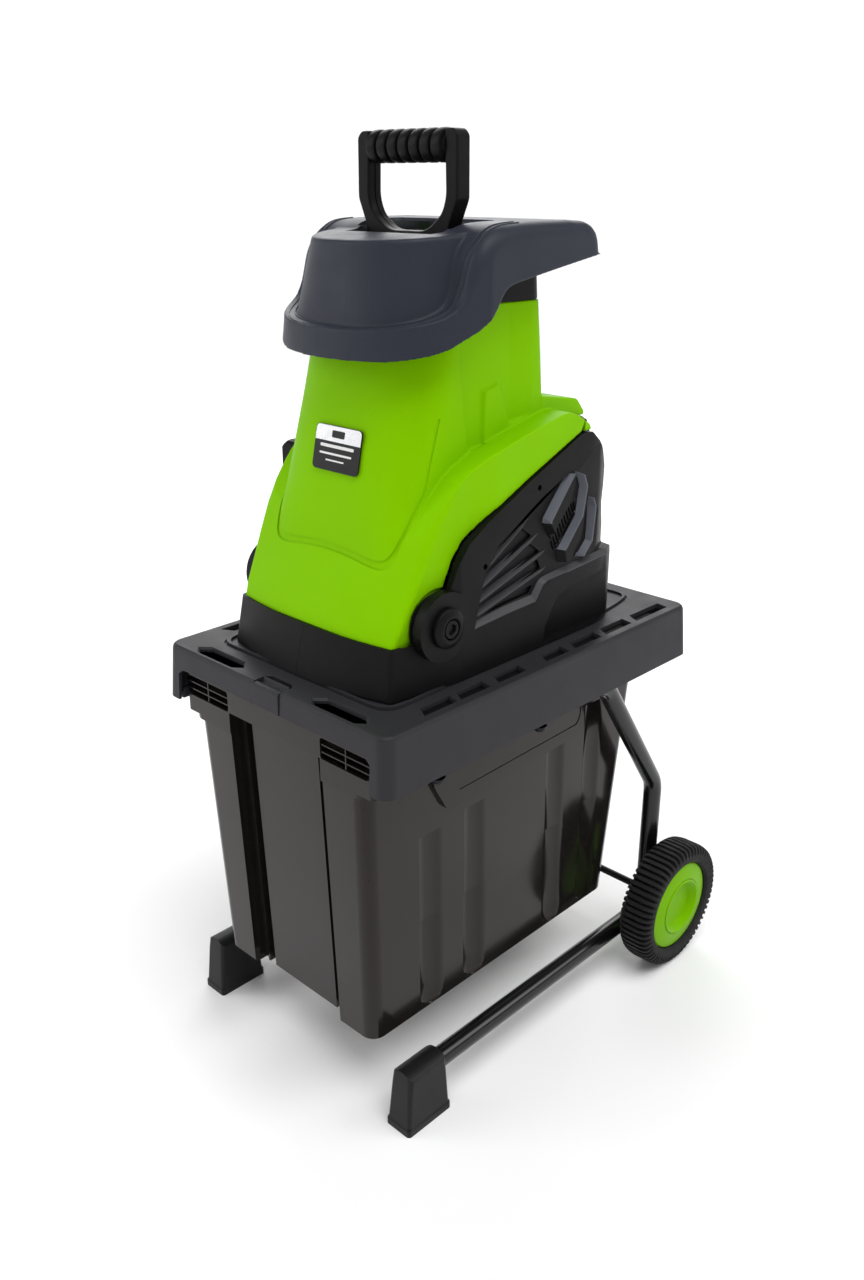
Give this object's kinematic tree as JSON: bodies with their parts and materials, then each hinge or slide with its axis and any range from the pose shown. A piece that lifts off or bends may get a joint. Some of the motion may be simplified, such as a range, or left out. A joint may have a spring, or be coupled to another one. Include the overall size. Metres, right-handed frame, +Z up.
{
  "type": "wood chipper",
  "caption": "Electric garden shredder: tilting feed head with plunger over a belt-driven knife disc, on a wheeled tube frame with a slide-out collection box.",
  "frame": {"origin": "under the middle of the whole machine, on the ground", "axes": "+Z up, -Y the front with the box latch, +Y the wheels, +X to the right of someone who faces the latch"},
  "size_m": [0.432, 0.5458, 0.967],
  "materials": {
    "frame_paint": "gloss black powder coat",
    "foot_plastic": "satin black moulded plastic",
    "zinc": "zinc plated",
    "tyre_rubber": "matt black ribbed tread",
    "green_plastic": "satin lime green plastic with a fine grain",
    "charcoal_plastic": "satin charcoal plastic",
    "box_plastic": "glossy dark brown-black plastic",
    "black_plastic": "satin black plastic",
    "hood_plastic": "dark slate blue-grey plastic, fine texture",
    "accent_plastic": "blue-grey satin plastic",
    "plate_print": "printed film in silver and black",
    "steel": "ground tool steel",
    "alloy": "cast aluminium",
    "winding": "laminated core with copper windings",
    "red_plastic": "glossy red plastic",
    "belt_rubber": "black rubber"
  },
  "bodies": {
    "chassis": {"frame_tube_left": "frame_paint", "frame_tube_right": "frame_paint", "foot_left": "foot_plastic", "foot_right": "foot_plastic", "box_rail_left": "black_plastic", "box_rail_right": "black_plastic", "front_tube_bolt_left": "zinc", "front_tube_bolt_right": "zinc", "rear_tube_bolt_left": "zinc", "rear_tube_bolt_right": "zinc", "lower_housing_left": "black_plastic", "lower_housing_right": "black_plastic", "pivot_washer_left": "black_plastic", "pivot_washer_right": "black_plastic", "pivot_bolt_left": "black_plastic", "pivot_bolt_right": "black_plastic", "side_grille_left": "accent_plastic", "side_grille_right": "accent_plastic", "axle": "zinc", "axle_clip_left": "steel", "axle_clip_right": "steel", "deck": "charcoal_plastic", "switch_box": "black_plastic", "power_inlet": "black_plastic", "mount_plate": "alloy", "upper_bearing": "steel", "lower_bearing": "steel", "drive_belt": "belt_rubber", "motor_housing": "black_plastic", "stator": "winding", "counter_knife": "steel"},
    "wheel_left": {"tyre_left": "tyre_rubber", "wheel_hub_left": "green_plastic", "hub_cap_left": "green_plastic"},
    "wheel_right": {"tyre_right": "tyre_rubber", "wheel_hub_right": "green_plastic", "hub_cap_right": "green_plastic"},
    "box": {"collection_box": "box_plastic"},
    "latch": {"box_latch": "charcoal_plastic"},
    "head": {"head_shell": "green_plastic", "neck": "black_plastic", "hood": "hood_plastic", "feed_chute": "black_plastic", "name_plate": "plate_print"},
    "plunger": {"plunger_handle": "black_plastic", "plunger_block": "black_plastic"},
    "lock": {"lock_knob": "black_plastic", "lock_screw": "zinc"},
    "cutter": {"knife_disc": "steel", "knife_a": "steel", "knife_b": "steel", "spindle": "steel", "disc_nut": "zinc", "large_pulley": "alloy"},
    "motor": {"rotor": "winding", "motor_shaft": "steel", "small_pulley": "alloy"},
    "on_switch": {"on_button": "green_plastic"},
    "off_switch": {"off_button": "red_plastic"},
    "reset_switch": {"reset_button": "black_plastic"}
  },
  "joints": [
    {"name": "wheel_left_spin", "type": "hinge", "parent": "chassis", "child": "wheel_left", "pos_m": [-0.1945, 0.193, 0.08], "axis": [1, 0, 0], "continuous": true},
    {"name": "wheel_right_spin", "type": "hinge", "parent": "chassis", "child": "wheel_right", "pos_m": [0.1945, 0.193, 0.08], "axis": [1, 0, 0], "continuous": true},
    {"name": "box_slide", "type": "slide", "parent": "chassis", "child": "box", "axis": [0, -1, 0], "range_m": [0, 0.42]},
    {"name": "latch_slide", "type": "slide", "parent": "chassis", "child": "latch", "axis": [0, 0, 1], "range_m": [0, 0.014]},
    {"name": "head_tilt", "type": "hinge", "parent": "chassis", "child": "head", "pos_m": [0, -0.152, 0.53], "axis": [1, 0, 0], "range_deg": [0, 50]},
    {"name": "plunger_lift", "type": "slide", "parent": "head", "child": "plunger", "axis": [0, 0, 1], "range_m": [0, 0.1]},
    {"name": "lock_turn", "type": "hinge", "parent": "head", "child": "lock", "pos_m": [0, 0.0885, 0.683], "axis": [0, 0.7071, 0.7071], "range_deg": [0, 720]},
    {"name": "cutter_spin", "type": "hinge", "parent": "chassis", "child": "cutter", "pos_m": [0, -0.079, 0.575], "axis": [0, -0.766, 0.6428], "continuous": true},
    {"name": "motor_spin", "type": "hinge", "parent": "chassis", "child": "motor", "pos_m": [0, 0.04013, 0.59252], "axis": [0, -0.766, 0.6428], "continuous": true},
    {"name": "on_press", "type": "slide", "parent": "chassis", "child": "on_switch", "axis": [1, 0, 0], "range_m": [0, 0.003], "stiffness_N_per_m": 300, "springref_m": -0.002},
    {"name": "off_press", "type": "slide", "parent": "chassis", "child": "off_switch", "axis": [1, 0, 0], "range_m": [0, 0.003], "stiffness_N_per_m": 300, "springref_m": -0.002},
    {"name": "reset_press", "type": "slide", "parent": "chassis", "child": "reset_switch", "axis": [1, 0, 0], "range_m": [0, 0.003], "stiffness_N_per_m": 300, "springref_m": -0.002}
  ],
  "couplings": [
    {"joint": "motor_spin", "follows": "cutter_spin", "ratio": 3.5}
  ]
}
